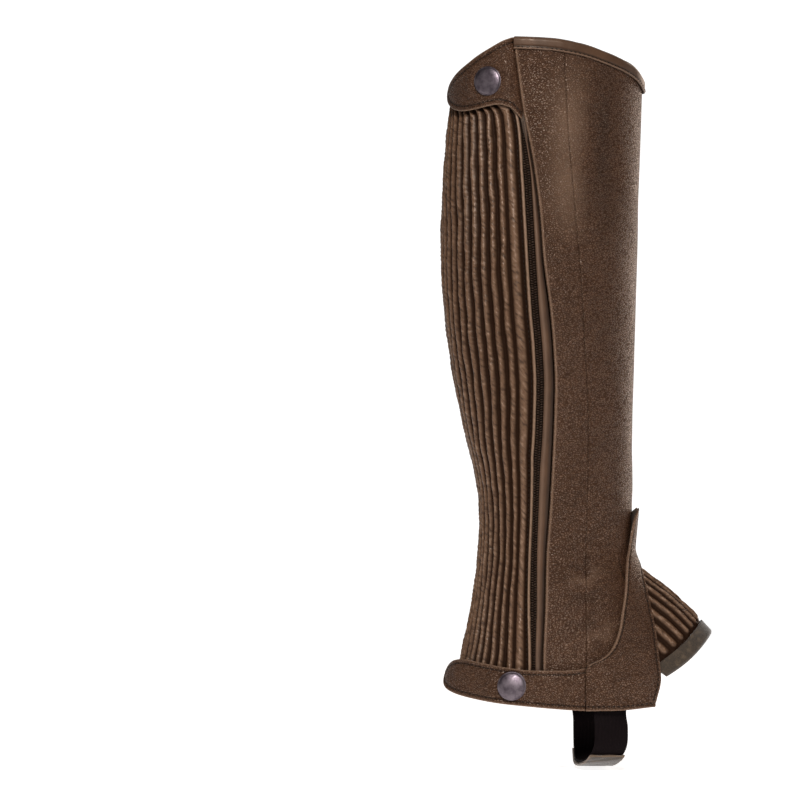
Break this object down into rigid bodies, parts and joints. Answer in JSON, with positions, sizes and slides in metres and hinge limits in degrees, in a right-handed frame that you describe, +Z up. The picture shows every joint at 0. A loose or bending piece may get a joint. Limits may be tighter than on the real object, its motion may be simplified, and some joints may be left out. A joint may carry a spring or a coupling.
{
  "type": "riding half chap",
  "caption": "Riding half chap for a right leg: a leather tube with a ribbed stretch calf, a side zip under snapped tabs, instep flaps, a ribbed gusset and a strap under the boot.",
  "frame": {"origin": "inside the leg, midway between shin and calf at the level where the calf is widest, where the leg holds the chap", "axes": "+X to the toe, +Z up the leg to the knee, -Y to the outer side of the right leg"},
  "size_m": [0.1655, 0.1096, 0.4409],
  "materials": {
    "pebbled_leather": "pebbled, semi-matt",
    "smooth_leather": "smooth, satin",
    "ribbed_leather": "stretch pleated, semi-matt",
    "suede": "suede, matt",
    "elastic": "woven elastic, matt",
    "zip": "woven tape with moulded coil teeth",
    "pewter": "dark pewter, polished"
  },
  "bodies": {
    "root": {"main_panel": "pebbled_leather", "side_panel": "pebbled_leather", "rib_panel": "ribbed_leather", "zip_tape": "zip", "zip_slider": "pewter", "placket": "smooth_leather", "top_tab": "pebbled_leather", "ankle_tab": "pebbled_leather", "outer_flap": "pebbled_leather", "inner_flap": "pebbled_leather", "gusset": "ribbed_leather", "gusset_band": "suede", "top_binding": "smooth_leather", "hem_binding": "smooth_leather", "calf_patch": "pebbled_leather", "top_snap": "pewter", "ankle_snap": "pewter", "foot_strap": "elastic", "strap_pad": "suede"}
  },
  "joints": []
}
